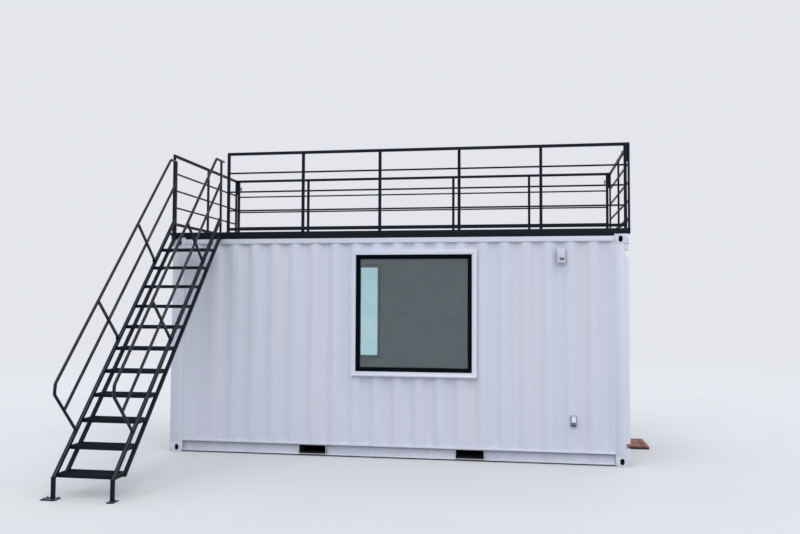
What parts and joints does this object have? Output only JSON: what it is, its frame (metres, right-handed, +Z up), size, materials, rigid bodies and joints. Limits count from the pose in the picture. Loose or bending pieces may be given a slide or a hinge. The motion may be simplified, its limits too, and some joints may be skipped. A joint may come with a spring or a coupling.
{
  "type": "shipping container cabin",
  "caption": "White steel container cabin with a large square window, an end door, a railed roof deck and a steep outside stair with handrails.",
  "frame": {"origin": "on the ground, at the middle of the whole object's footprint, stair and door step included", "axes": "+X along the cabin towards the door end, +Y from the stair side towards the back, +Z up"},
  "size_m": [6.543, 5.278, 4.052],
  "materials": {
    "white_steel": "satin cool white paint",
    "black_steel": "satin black powder coat",
    "tread_grating": "black serrated steel grating",
    "underfloor_steel": "black underbody coating",
    "window_frame_black": "black coated metal",
    "window_glass": "clear glazing",
    "lining_board": "off-white faced board",
    "floor_board": "sealed plywood",
    "deck_board": "dark faced plywood",
    "step_wood": "weathered red-brown timber",
    "white_plastic": "matte",
    "grey_plastic": "matte",
    "handle_metal": "brushed"
  },
  "bodies": {
    "root": {"bottom_corner_castings": "white_steel", "top_corner_castings": "white_steel", "left_corner_posts": "white_steel", "right_corner_posts": "white_steel", "bottom_side_rails": "white_steel", "fork_pockets": "white_steel", "end_sills": "white_steel", "end_headers": "white_steel", "top_side_rails": "white_steel", "front_wall": "white_steel", "back_wall": "white_steel", "left_end_wall": "white_steel", "right_end_wall": "white_steel", "roof_sheet": "white_steel", "window_casings": "white_steel", "door_frame": "white_steel", "door_leaf": "white_steel", "deck_side_beams": "black_steel", "deck_end_beams": "black_steel", "deck_joists": "black_steel", "front_railing": "black_steel", "back_railing": "black_steel", "left_railing": "black_steel", "right_railing": "black_steel", "railing_clamps": "black_steel", "stair_left_stringer": "black_steel", "stair_right_stringer": "black_steel", "stair_feet": "black_steel", "left_handrail": "black_steel", "right_handrail": "black_steel", "stair_treads": "tread_grating", "floor_cross_members": "underfloor_steel", "window_frames": "window_frame_black", "window_glass": "window_glass", "front_lining": "lining_board", "back_lining": "lining_board", "left_lining": "lining_board", "right_lining": "lining_board", "ceiling_lining": "lining_board", "floor_boards": "floor_board", "deck_boards": "deck_board", "door_step": "step_wood", "wall_vent": "white_plastic", "outlet_box": "grey_plastic", "door_handle": "handle_metal"}
  },
  "joints": []
}
